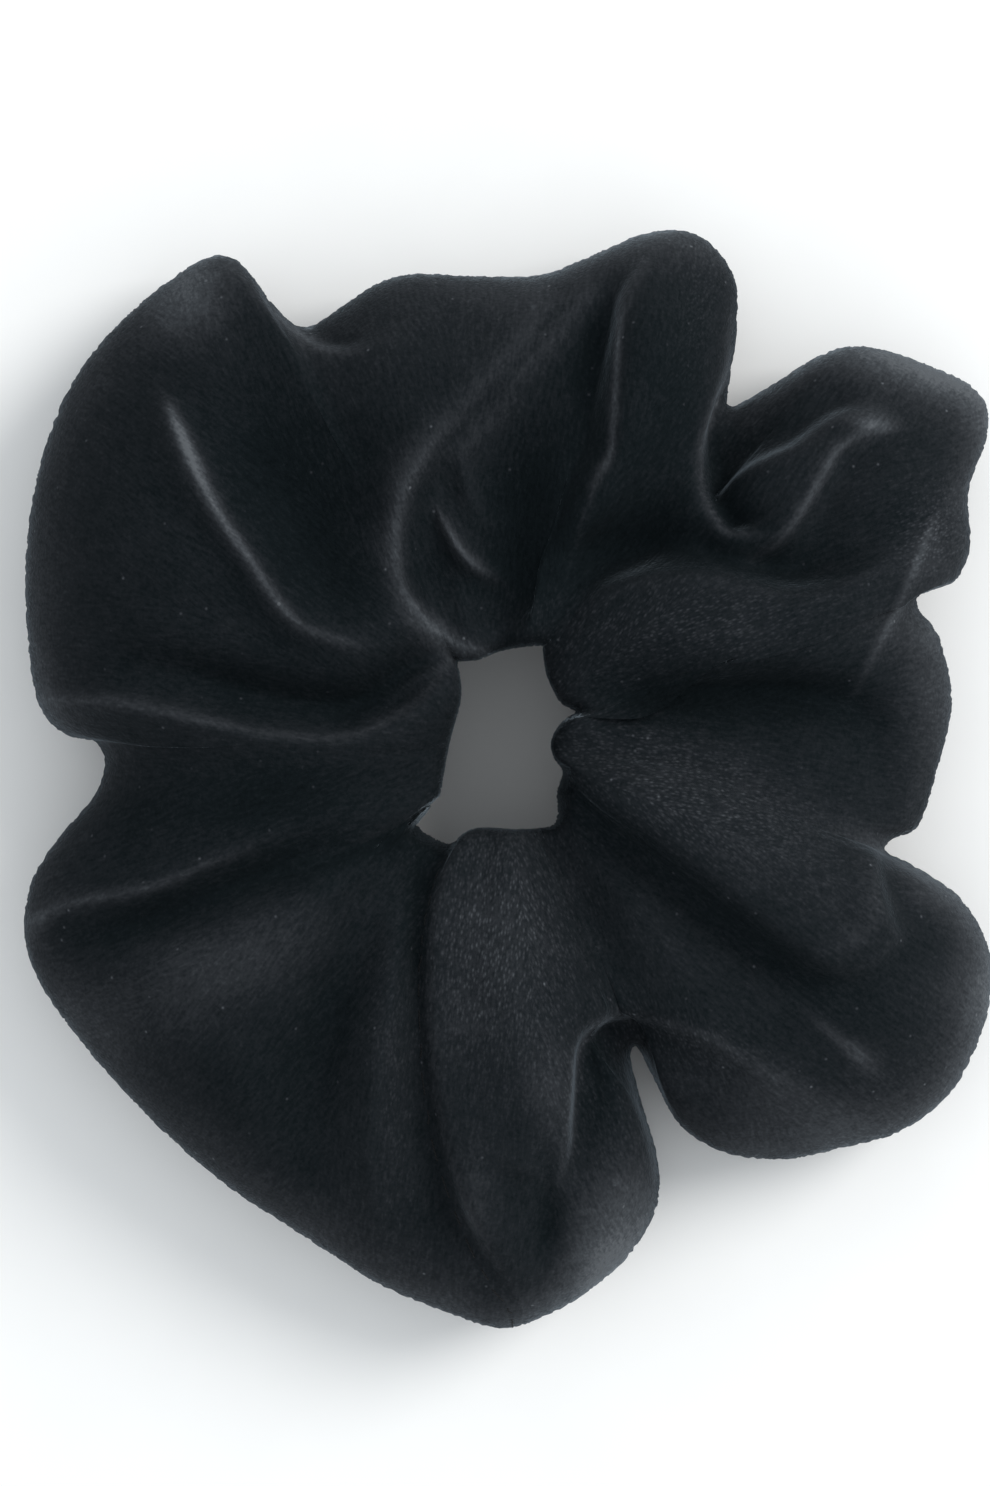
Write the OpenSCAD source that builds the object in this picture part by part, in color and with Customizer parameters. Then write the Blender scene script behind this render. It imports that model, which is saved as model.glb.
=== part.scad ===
// Velvet scrunchie: a sewn velvet tube gathered on a loop of braided elastic.
// The ring's axis is Z, and it lies on the plane z = 0. The closing seam, where
// the tube's two ends meet, faces the -Y side.

/* [Elastic] */
// Radius of the elastic loop's middle line, relaxed
elastic_r = 21; // [19:0.5:23]
// Width of the flat elastic, which stands upright in the tube
elastic_w = 6; // [5:0.5:8]
// Thickness of the flat elastic
elastic_t = 1.3; // [1.2:0.1:1.5]
// Height of the elastic's middle above the table
elastic_z = 12; // [11:0.5:14]
// Diameter of one rubber cord in the elastic
cord_d = 0.44; // [0.3:0.02:0.46]
// Number of rubber cords side by side
cord_count = 8; // [6:1:8]
// Length of the sewn overlap at the elastic's ends
overlap_len = 11; // [9:1:13]

/* [Sleeve] */
// Number of gathers that the sleeve is divided into
gather_count = 12; // [12]
// Thickness of the velvet, pile included
velvet_t = 1.4; // [1.1:0.1:1.6]
// Height of the folded outer and inner edges above the table
edge_z = 9; // [8:0.5:10]
// Scale of the sleeve's outer outline
outer_scale = 1; // [0.95:0.01:1.05]
// Angle of the closing seam, anticlockwise from +X
seam_angle = 262; // [262]

/* [Sewing] */
// Diameter of the sewing thread
thread_d = 0.3; // [0.25:0.01:0.35]
// Number of stitches round the long seam
long_stitches = 72; // [48:12:84]
// Width of the seam allowance, the tube's raw edges turned inside it
allowance_w = 4.5; // [4:0.5:5]

/* [Hidden] */
two_digits = function(k) k < 10 ? str("0", k) : str(k);
GATHER_NODES = [for (k = [1:gather_count]) str("sleeve_gather_", two_digits(k))];

velvet_colour = "#171c20";
cover_colour = "#24272a";
rubber_colour = "#b7a582";
thread_colour = "#0f1215";

// Outline of the sleeve, one value for each 15 degrees anticlockwise from +X.
OUTLINE_STEP = 15;
OUTER = [50, 50, 60, 62, 53, 59, 52.5, 53, 62, 63, 60, 55,
         46, 53, 57, 57.5, 59, 62, 65, 57, 51, 62, 63, 45];
INNER = [7.5, 9, 9, 9, 11.5, 11.5, 11, 11, 11.5, 8.5, 7.5, 7,
         7, 7.5, 8.5, 10.5, 12.5, 11, 10, 10, 10.5, 9.5, 8, 7];
CROWN = [24, 29, 25, 29, 24, 31, 25, 30, 26, 30, 31, 28,
         25, 29, 26, 30, 27, 31, 29, 32, 26, 30, 31, 25];

around = 18;            // points round the tube's section
lining_points = around + 3;
gather_steps = 5;       // stations along a gather, less one
gather_angle = 360 / gather_count;
gather_gap = 1;         // angle left free between two gathers
crown_lean = 0.25;      // how far the crown leans towards the ring's axis
tuck_angle = 12;        // how far the tucked end reaches into the first gather
tuck_gap = 0.35;        // clearance between the tucked end and the sleeve
allowance_t = 0.9;      // two raw edges, pressed together
trimmed_w = 0.2;        // what is left of the allowance where the ends overlap
stitch_share = 0.6;     // part of each stitch's pitch that its thread covers
seam_stitch_in = 1.2;   // how far the long seam lies from the tube's lining
closing_offset = 2.4;   // angle from the tube's end to the closing stitches
cord_pitch = (elastic_w - 0.6) / cord_count;
channel_gap = 0.02;     // clearance round a cord
overlap_start = seam_angle + 14;
overlap_angle = overlap_len / elastic_r * 180 / PI;
layers = [elastic_r, elastic_r + elastic_t];
tack_d = 0.16;
tack_columns = [0.15, 0.38, 0.61, 0.84];

// Smooth value of a list of evenly spaced values at angle a, by Catmull-Rom.
function pick(list, i) = list[(i % len(list) + len(list)) % len(list)];
function blend3(p, q, r, s, t) =
    q + 0.5 * t * (r - p + t * (2 * p - 5 * q + 4 * r - s + t * (3 * (q - r) + s - p)));
function at_angle(list, a) =
    let (x = a / OUTLINE_STEP, i = floor(x))
    blend3(pick(list, i - 1), pick(list, i), pick(list, i + 1), pick(list, i + 2), x - i);

// One point of the tube's section: a is the angle round the ring, b the angle
// round the tube (0 at the outer edge, 90 on top), inset the depth in the cloth.
function section_point(a, b, inset) =
    let (
        ri = at_angle(INNER, a) + inset,
        ro = at_angle(OUTER, a) * outer_scale - inset,
        crown = at_angle(CROWN, a) - inset,
        lean = sin(b) > 0 ? crown_lean * sin(b) * sin(b) : 0,
        r = (ri + ro) / 2 + (ro - ri) / 2 * (cos(b) - lean),
        z = sin(b) > 0 ? edge_z + (crown - edge_z) * sin(b)
                       : max(inset, edge_z + (edge_z + 3 - inset) * sin(b)))
    [r * cos(a), r * sin(a), z];

// Width of the seam allowance at angle a: trimmed where the two ends overlap.
function allowance(a) = a < seam_angle + tuck_angle + 1 ? trimmed_w : allowance_w;

// The lining's points at one station: the section, with the seam allowance
// standing out from the middle of its inner edge.
function lining(a, inset) =
    let (edge = section_point(a, 180, inset), out = [cos(a), sin(a), 0],
         up = [0, 0, allowance_t / 2], tip = edge + allowance(a) * out, half = around / 2)
    [for (j = [0:lining_points - 1])
        j < half ? section_point(a, j * 360 / around, inset)
        : j == half ? edge + up
        : j == half + 1 ? tip + up
        : j == half + 2 ? tip - up
        : j == half + 3 ? edge - up
        : section_point(a, (j - 3) * 360 / around, inset)];

// A stretch of hollow tube from angle a0 to a1, its skin at depth outside and
// its lining at depth inside, in the given number of steps.
module tube_stretch(a0, a1, steps, outside, inside) {
    half = around / 2;
    angles = [for (s = [0:steps]) a0 + (a1 - a0) * s / steps];
    skin = [for (a = angles) for (j = [0:around - 1]) section_point(a, j * 360 / around, outside)];
    inner = [for (a = angles) each lining(a, inside)];
    function o(s, j) = s * around + j % around;
    function i(s, j) = len(skin) + s * lining_points + j % lining_points;
    walls = [for (s = [0:steps - 1]) each concat(
        [for (j = [0:around - 1]) each [
            [o(s, j), o(s, j + 1), o(s + 1, j + 1)],
            [o(s, j), o(s + 1, j + 1), o(s + 1, j)]]],
        [for (j = [0:lining_points - 1]) each [
            [i(s, j), i(s + 1, j + 1), i(s, j + 1)],
            [i(s, j), i(s + 1, j), i(s + 1, j + 1)]]])];
    // One mouth of the tube, at station s
    function mouth(s) = concat(
        [for (j = [0:around - 1]) let (k = j < half ? j : j + 3) each [
            [o(s, j + 1), o(s, j), i(s, k)], [o(s, j + 1), i(s, k), i(s, k + 1)]]],
        [[o(s, half), i(s, half), i(s, half + 3)],
         [i(s, half + 3), i(s, half), i(s, half + 1)],
         [i(s, half + 3), i(s, half + 1), i(s, half + 2)]]);
    function turned(faces) = [for (f = faces) [f[0], f[2], f[1]]];
    polyhedron(concat(skin, inner), concat(walls, mouth(0), turned(mouth(steps))));
}

// Gather k of the sleeve: the stretch of tube between two planes through the axis.
module sleeve_gather(k) {
    start = seam_angle + gather_angle * (k - 1);
    color(velvet_colour)
        tube_stretch(start + gather_gap / 2, start + gather_angle - gather_gap / 2,
                     gather_steps, 0, velvet_t);
}

// The sleeve's other end, tucked into the first gather at the closing seam.
module sleeve_tucked_end() {
    color(velvet_colour)
        tube_stretch(seam_angle + gather_gap / 2, seam_angle + tuck_angle, 2,
                     velvet_t + tuck_gap, 2 * velvet_t + tuck_gap - 0.2);
}

// One stitch: a straight length of thread from p to q.
module stitch(p, q, d) {
    v = q - p;
    translate(p)
        rotate([0, acos(v.z / norm(v)), atan2(v.y, v.x)])
            cylinder(h = norm(v), d = d, $fn = 16);
}

// Edge stitching round the mouth of the first gather, two stitches to a facet.
module closing_seam_thread() {
    span = (gather_angle - gather_gap) / gather_steps;
    near = seam_angle + gather_gap / 2;
    share = (closing_offset - gather_gap / 2) / span;
    // On the skin, but sunk in the cloth where the cloth lies on the table
    function on_skin(j) =
        let (b = j * 360 / around,
             p = section_point(near, b, 0) * (1 - share) + section_point(near + span, b, 0) * share)
        [p.x, p.y, max(p.z, thread_d * 0.55)];
    color(thread_colour)
        for (j = [0:around - 1]) {
            p = on_skin(j);
            v = on_skin(j + 1) - p;
            for (t = [0.25, 0.75])
                stitch(p + v * (t - stitch_share / 4), p + v * (t + stitch_share / 4), thread_d);
        }
}

// Stitches of the long seam, along the top of the seam allowance.
module long_seam_thread() {
    pitch = 360 / long_stitches;
    z = edge_z + (allowance_t + thread_d) / 2 + 0.03;
    function on_seam(a) =
        let (r = at_angle(INNER, a) + velvet_t + seam_stitch_in)
        [r * cos(a), r * sin(a), z];
    color(thread_colour)
        for (a = [seam_angle + tuck_angle + pitch * 2 : pitch : seam_angle + 359])
            stitch(on_seam(a - pitch * stitch_share / 2), on_seam(a + pitch * stitch_share / 2),
                   thread_d);
}

// A flat ring of rectangular section, its inside at r, from angle a0 over sweep.
module band(r, thick, a0, sweep) {
    rotate([0, 0, a0])
        rotate_extrude(angle = sweep, $fn = 96)
            translate([r, elastic_z - elastic_w / 2])
                square([thick, elastic_w]);
}

// The rubber cords, or with a larger diameter the channels that they lie in: a
// full ring in the loop's first layer, an arc in the layer that lies over it.
module cord_runs(d, arc_start, arc_sweep) {
    for (i = [0:cord_count - 1])
        translate([0, 0, cord_z(i)]) {
            rotate_extrude($fn = 96)
                translate([layers[0], 0])
                    circle(d = d, $fn = 24);
            rotate([0, 0, arc_start])
                rotate_extrude(angle = arc_sweep, $fn = 96)
                    translate([layers[1], 0])
                        circle(d = d, $fn = 24);
        }
}

// Height of rubber cord i in the elastic.
function cord_z(i) = elastic_z + (i - (cord_count - 1) / 2) * cord_pitch;

// One leg of a tack stitch, right through both layers between two cords.
module tack_leg(angle, i) {
    rotate([0, 0, angle])
        translate([elastic_r - elastic_t / 2 - tack_d / 2, 0, cord_z(i) + cord_pitch / 2])
            rotate([0, 90, 0])
                cylinder(h = 2 * elastic_t + tack_d, d = tack_d, $fn = 16);
}

// All the tack legs, in columns across the overlap.
module tack_legs() {
    for (c = tack_columns)
        for (i = [0:cord_count - 2])
            tack_leg(overlap_start + overlap_angle * c, i);
}

// The flat braid: a loop whose end lies over its start, with a channel for each cord.
module elastic_cover() {
    inside = elastic_r - elastic_t / 2;
    color(cover_colour)
        difference() {
            union() {
                band(inside, elastic_t, 0, 360);
                band(inside + elastic_t - 0.1, elastic_t + 0.1, overlap_start, overlap_angle);
            }
            cord_runs(cord_d + 2 * channel_gap, overlap_start - 1, overlap_angle + 2);
            tack_legs();
        }
}

// The rubber cords that make the braid elastic.
module rubber_cords() {
    color(rubber_colour)
        cord_runs(cord_d, overlap_start, overlap_angle);
}

// The tacking that joins the elastic's two ends: legs through both layers, and
// on each face a bar up every column.
module elastic_tack_thread() {
    low = cord_z(0) + cord_pitch / 2 - tack_d / 2;
    high = cord_z(cord_count - 2) + cord_pitch / 2 + tack_d / 2;
    color(thread_colour) {
        tack_legs();
        for (c = tack_columns)
            for (r = [elastic_r - elastic_t / 2 - tack_d, elastic_r + elastic_t * 1.5])
                rotate([0, 0, overlap_start + overlap_angle * c])
                    translate([r, -tack_d / 2, low])
                        cube([tack_d, tack_d, high - low]);
    }
}

for (k = [1:gather_count])
    sleeve_gather(k);
sleeve_tucked_end();
closing_seam_thread();
long_seam_thread();
elastic_cover();
rubber_cords();
elastic_tack_thread();
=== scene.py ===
"""Velvet scrunchie, lying flat and seen from straight above."""

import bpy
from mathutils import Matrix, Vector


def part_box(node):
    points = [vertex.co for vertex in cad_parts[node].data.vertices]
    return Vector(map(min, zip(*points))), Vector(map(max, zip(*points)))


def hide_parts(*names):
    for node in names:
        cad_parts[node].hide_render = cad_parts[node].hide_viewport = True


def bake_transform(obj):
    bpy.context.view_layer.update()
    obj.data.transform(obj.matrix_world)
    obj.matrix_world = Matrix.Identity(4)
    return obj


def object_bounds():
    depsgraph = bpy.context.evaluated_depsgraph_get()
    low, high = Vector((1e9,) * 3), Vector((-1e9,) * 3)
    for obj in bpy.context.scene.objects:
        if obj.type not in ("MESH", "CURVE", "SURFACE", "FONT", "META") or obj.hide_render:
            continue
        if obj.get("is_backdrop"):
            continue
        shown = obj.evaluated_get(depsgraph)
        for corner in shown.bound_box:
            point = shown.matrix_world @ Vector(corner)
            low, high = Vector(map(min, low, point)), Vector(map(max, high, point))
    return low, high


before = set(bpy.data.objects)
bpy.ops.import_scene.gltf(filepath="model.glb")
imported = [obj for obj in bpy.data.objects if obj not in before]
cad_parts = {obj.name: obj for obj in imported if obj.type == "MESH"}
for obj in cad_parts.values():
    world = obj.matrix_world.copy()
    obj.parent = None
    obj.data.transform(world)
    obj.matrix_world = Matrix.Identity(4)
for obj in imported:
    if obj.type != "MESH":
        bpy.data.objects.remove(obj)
cad_low, cad_high = (tuple(v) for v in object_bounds())

import math

import bpy
import numpy as np
from mathutils import Vector

MM = (cad_high[0] - cad_low[0]) / 107.87      # every length below is in mm on that frame
TAU = 2 * math.pi
GATHERS = 12
SEAM_ANGLE = 262.0        # degrees, where the sleeve's two ends meet
GATHER_ANGLE = 360 / GATHERS

STATIONS = 960            # round the ring
TOP_POINTS = 120          # inner edge to outer edge, over the top
BOTTOM_POINTS = 44        # and back underneath

# The sleeve's outline seen from above, anticlockwise from +X, in mm.
OUTER = [
    (46.5, -9.2), (48.6, -3.0), (50.2, 4.5), (48.8, 11.6), (46.4, 14.8), (46.6, 16.6),
    (50.2, 17.6), (52.2, 21.8), (52.0, 28.0), (54.2, 34.6), (53.2, 39.0), (47.5, 42.0),
    (40.5, 44.0), (35.8, 43.0), (29.6, 39.2), (25.4, 37.2), (25.4, 40.4), (26.2, 46.0),
    (26.0, 51.6), (23.4, 55.4), (20.2, 56.9), (15.8, 56.4), (11.0, 54.4), (4.5, 51.9),
    (-3.0, 51.8), (-10.0, 52.0), (-14.0, 50.8), (-18.4, 47.8), (-22.2, 46.0), (-25.6, 48.8),
    (-28.6, 52.8), (-31.2, 54.2), (-34.4, 53.0), (-38.6, 50.0), (-43.4, 45.6), (-47.6, 40.0),
    (-50.4, 33.4), (-52.2, 26.0), (-52.8, 17.0), (-52.2, 8.4), (-51.0, 3.6), (-48.4, 1.0),
    (-45.0, 0.2), (-43.8, -2.4), (-45.2, -6.2), (-48.8, -10.4), (-51.8, -14.8), (-53.0, -20.6),
    (-51.6, -26.0), (-47.8, -31.8), (-42.2, -38.4), (-36.0, -44.6), (-29.4, -50.0),
    (-22.0, -54.8), (-14.0, -60.0), (-6.6, -63.2), (0.0, -65.2), (5.4, -63.6), (10.6, -60.4),
    (14.8, -56.4), (17.4, -51.2), (17.2, -46.0), (15.6, -40.4), (14.3, -35.2), (15.2, -33.6),
    (17.6, -38.0), (20.2, -42.6), (25.0, -45.6), (31.6, -46.4), (38.4, -45.0), (45.0, -43.0),
    (50.6, -38.2), (54.0, -30.6), (54.4, -23.6), (51.2, -17.6), (46.0, -14.0), (42.6, -12.2),
    (43.6, -10.6),
]

# The hole's outline, in mm.
INNER = [
    (6.8, -3.2), (5.9, -1.6), (5.8, .2), (6.8, 2.2), (8.3, 3.3), (6.6, 4.4), (5.5, 7.0),
    (5.2, 9.6), (4.6, 10.8), (0.0, 10.2), (-3.4, 9.7), (-5.3, 9.0), (-5.2, 5.8), (-5.6, 2.6),
    (-6.4, -2.4), (-6.8, -6.0), (-7.8, -7.4), (-9.6, -8.6), (-8.2, -10.0), (-5.6, -11.2),
    (-4.0, -10.2), (-2.0, -9.6), (2.0, -9.7), (5.4, -9.3), (6.3, -8.0), (6.2, -5.4),
]

# Crown height at these angles, in degrees and mm.
CROWN = [
    (0, 24), (18, 27), (33, 26), (48, 25), (60, 24), (75, 29), (90, 26), (105, 27), (120, 26),
    (140, 28), (160, 28), (175, 27), (185, 26), (205, 26), (225, 27), (245, 27), (262, 26),
    (275, 28), (288, 25), (296, 22), (310, 26), (325, 29), (338, 28), (350, 24),
]

# What the cloth does on the sleeve's top. Every line runs from the hole outward, as (x, y)
# or (x, y, strength) in mm, and left and right are as seen along it.
# A ridge is height tall and fades over left and right. A painted highlight pales its colour
# along the crest by its light value, over its highlight widths in mm to the left and the right.
RIDGES = [
    # the brow of the panel below the big left lobe, and its inner twin at the hole
    dict(at=[(-5.8, 7.6, .3), (-7.3, 6.4, .8), (-10, 3.9, 1), (-13.4, 1.8, 1), (-18, .3, .9),
             (-24.6, .5, .8), (-31, 2.2, .9), (-37.5, 4, 1), (-43, 4.8, .9), (-49.5, 4.4, .5)],
         height=3.2, left=4.8, right=1.3, painted_light=.4, highlight_wide=(2.8, .8)),
    dict(at=[(-6.6, 8.6, .5), (-9.5, 6.8, 1), (-12, 4.8, .8), (-14, 3.4, .2)],
         height=1.1, left=.7, right=.8, painted_light=.5, highlight_wide=(.6, .6)),
    dict(at=[(-49.2, 4.6, .6), (-43.6, 4.3, 1), (-37.3, 3.1, 1), (-31.1, 1.9, .9), (-24.9, .8, .9),
             (-18.7, .45, .9), (-14.9, 1.3, .9), (-11.2, 3.4, .9), (-7.6, 6.5, .8), (-6.2, 8.2, .5)],
         height=.3, left=.8, right=.6, painted_light=.7, highlight_wide=(.9, .45)),
    # the pinch on the big left lobe
    dict(at=[(-15, 11, .1), (-16.8, 11.1, .35), (-21.3, 12.5, .6), (-24.6, 15.3, .8),
             (-28, 20.4, 1), (-31.4, 25.4, 1), (-34.6, 31.4, 1), (-36.6, 36.4, .8),
             (-37.4, 39.0, 0)],
         height=2.6, left=2.0, right=1.5, painted_light=1.9, highlight_wide=(.9, .8)),
    dict(at=[(-30, 42, 0), (-33, 47, .8), (-33.6, 52, .8)], height=1.2, left=4, right=2),
    # left of the top pocket, and the pleats in it
    dict(at=[(-2.6, 10.2, .8), (-6.7, 12, 1), (-10.1, 15.9, 1), (-11.5, 19.8, 1), (-11.5, 24.3, 1),
             (-10.1, 29.3, .9), (-7.4, 33.6, .6), (-3.6, 38, .5), (1, 43.5, .5), (4.6, 48.5, .4)],
         height=2.4, left=4.5, right=1.6, painted_light=1.35, highlight_wide=(2.2, .9)),
    dict(at=[(-7.5, 31, .2), (-1.1, 35.8, .8), (1.7, 40.3, 1), (5.6, 45, 1), (9.5, 49.5, .8)],
         height=1.8, left=1.7, right=2.2, painted_light=.7, highlight_wide=(1.5, 1.6)),
    dict(at=[(-.6, 18.4, .3), (-2.4, 19.6, .9), (-4.5, 21.7, 1), (-6.6, 25.2, .7), (-7, 27, .1)],
         height=2.0, left=1.0, right=1.3, painted_light=1.5, highlight_wide=(.8, .8)),
    dict(at=[(-2.0, 25.4, .2), (-3.2, 28.4, .9), (-3.9, 31.6, .9), (-2.6, 34.5, .3)],
         height=1.4, left=1.3, right=1.5, painted_light=.4, highlight_wide=(1.2, 1.2)),
    # the lips of the tongue on the corner lobe
    dict(at=[(24.8, 30, .3), (28, 31.4, .6), (32, 32.8, .8), (34.4, 34.4, .9), (36.8, 36.0, 1),
             (39.2, 36.8, 1), (42.4, 36.2, .7)],
         height=.2, left=1.2, right=1.4, painted_light=.55, highlight_wide=(.9, 1.0)),
    dict(at=[(29.2, 21, .4), (32, 23.2, .8), (34.4, 26.8, 1), (36.4, 30.4, 1), (37.8, 32.6, 1),
             (40, 34.1, .8), (42.8, 35, .6)],
         height=.8, left=.9, right=.9, painted_light=1.2, highlight_wide=(.8, .5)),
    # the lip beside the top pocket
    dict(at=[(15.4, 51.5, .3), (13.6, 47, 1), (13.1, 42, 1), (12.8, 36, 1), (12.2, 32, 1),
             (10.9, 29.2, .3)],
         height=.2, left=.6, right=.6, painted_light=.8, highlight_wide=(.4, .5)),
    # where the roll ends at the right
    dict(at=[(40.2, 6.6, .5), (43, 12, 1), (45.2, 16.6, 1), (46.8, 20.4, 1), (48.2, 24, .7)],
         height=.9, left=1.2, right=.6, painted_light=.9, highlight_wide=(.5, .5)),
    dict(at=[(6.6, 11.6, .3), (10, 15.8, .7), (14, 17.6, 1), (20.2, 18.6, 1), (26, 18.0, 1),
             (32, 16.8, .9), (38, 17.4, .8), (43.5, 20.6, .4)],
         height=.5, left=1.2, right=2.5, painted_light=.3, highlight_wide=(.8, 1.4)),
    # the broad panel at the lower right
    dict(at=[(12, -2.5, .1), (18, -4.8, .7), (25, -8.5, 1), (34, -14.5, 1), (40, -18, .6)],
         height=1.6, left=6, right=5),
    dict(at=[(36.5, -23.5, .4), (40.4, -21.6, 1), (42.0, -18.6, .8), (41.4, -14.6, .3)],
         height=1.2, left=1.6, right=2, painted_light=.5, highlight_wide=(1.5, 1)),
    # the corner lobe below it
    dict(at=[(16, -31.2, 0), (19.7, -32.2, .7), (23.3, -33.4, 1), (27.4, -35.6, .9),
             (32, -38, .6), (37, -40.8, .2)],
         height=1.4, left=3.4, right=3.4, painted_light=.6, highlight_wide=(1.0, 1.8)),
    # the flap below the pocket of the seamed panel
    dict(at=[(-2.4, -47, .2), (-2.6, -52, .9), (0, -57, .7), (2, -61, .2)],
         height=1.1, left=2.4, right=2.4),
    dict(at=[(11.6, -43, .2), (12.6, -49, 1), (11.4, -55, .8), (9, -60, .2)],
         height=1.3, left=2.4, right=2.6),
    dict(at=[(-1, -45.6, .2), (2, -47.2, .9), (5.4, -49, .5)], height=.9, left=1.3, right=1.4,
         painted_light=.25, highlight_wide=(1, 1)),
    # the left lower panels
    dict(at=[(-51.9, -19.6, .8), (-46.3, -17.8, 1), (-39.4, -16.4, 1), (-33.2, -13.8, .8),
             (-28, -11.8, .3)],
         height=.3, left=.6, right=.8, painted_light=.6, highlight_wide=(.5, .7)),
    dict(at=[(-16, -8, .1), (-25.8, -10.8, .3), (-30.8, -12.8, .5), (-37, -15.4, .7),
             (-42, -16.8, .9), (-49.4, -18.2, 1), (-52, -20.6, .8)],
         height=1.3, left=1.8, right=2.4, painted_light=.65, highlight_wide=(.8, 1.2)),
    dict(at=[(-11, -12, .1), (-16.8, -15.6, .7), (-25.2, -19.8, 1), (-33.6, -24, 1),
             (-42, -25.6, .8), (-50, -25, .3)],
         height=2.8, left=7, right=3.6),
    dict(at=[(-9.4, -15, .3), (-10.8, -22, 1), (-12.4, -30, 1), (-13.8, -38, 1),
             (-14.4, -47, 1), (-13.6, -55, .6), (-12, -60, .2)],
         height=2.0, left=2.4, right=3),
    # the small lobe at the far right
    dict(at=[(43, 7.6, .2), (46, 5.4, .8), (48.6, 4.6, .6)], height=1.2, left=3, right=3),
]

# A valley is depth deep and fades over wide. Its shade value paints shade into the colour along the
# crease.
VALLEYS = [
    dict(at=[(-6.5, 10.6, .5), (-9, 8.6, 1), (-12.6, 5.8, 1), (-18, 4.0, 1), (-26, 4.8, .8),
             (-34, 7.4, .6), (-41, 9.2, .3)],
         depth=3.6, wide=3.0, painted_shade=.35),
    dict(at=[(-9, 6.0, .6), (-11.4, 4.2, 1), (-13, 3.2, .3)], depth=.9, wide=.6, painted_shade=.3),
    dict(at=[(8.4, 3.6, .1), (11.8, 4.2, .5), (15.5, 4.6, .9), (20.2, 4.6, 1), (28.6, 5.0, 1),
             (35, 4.8, .8), (40.5, 3.4, .35), (45, 1.5, .05)],
         depth=5.0, wide=3.2, painted_shade=.7),
    dict(at=[(7, 19.5, .5), (13, 21.8, .9), (20, 22.6, 1), (27, 21.2, 1), (33, 19.8, 1),
             (39, 22.4, .7), (44, 26, .2)],
         depth=2.2, wide=2.8, painted_shade=.2),
    dict(at=[(38.8, 5.6, .3), (41.6, 1.6, .8), (43.4, -4, .8), (43.6, -9, .6)],
         depth=1.2, wide=2.4, painted_shade=.1),
    dict(at=[(7.2, -5.2, .8), (11.4, -10.2, 1), (16.8, -15.0, 1), (22, -19.8, 1),
             (27.5, -23.8, 1), (33.6, -27.0, .8), (38.5, -27.4, .3)],
         depth=2.2, wide=3.0, painted_shade=.1),
    dict(at=[(10, -32.6, .4), (11.4, -35.4, 1), (11.6, -39.6, .8), (10.4, -45, .2)],
         depth=2.0, wide=2.2, painted_shade=.2),
    dict(at=[(5.2, -47, .3), (5.6, -51, .9), (5.2, -55.6, 1), (5.0, -58.6, .3)],
         depth=2.6, wide=1.8, painted_shade=.5),
    dict(at=[(-8.4, -11.5, .5), (-9.6, -17.7, 1), (-9.8, -25.5, 1), (-9.9, -34.5, .9),
             (-9.4, -44, .8), (-7.2, -52, .4)],
         depth=1.2, wide=1.8, painted_shade=.3),
    dict(at=[(-14, -10.4, .1), (-18, -12, .6), (-22.4, -13.2, 1), (-30.8, -16.6, 1), (-39.2, -20.2, 1),
             (-47.6, -22.2, .7), (-51.5, -22.8, .2)],
         depth=2.0, wide=2.4, painted_shade=.5),
    dict(at=[(-10, -12.6, .5), (-13.4, -17, .9), (-17, -24, 1), (-19.6, -31, 1),
             (-21, -39, .9), (-21.6, -47, .4)],
         depth=3.6, wide=4.2, painted_shade=.35),
    dict(at=[(-17, 14, 0), (-20, 19, .7), (-22.5, 25, 1), (-26.5, 32, 1), (-30, 38, .4)],
         depth=1.4, wide=4.5, painted_shade=.2),
]
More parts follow.
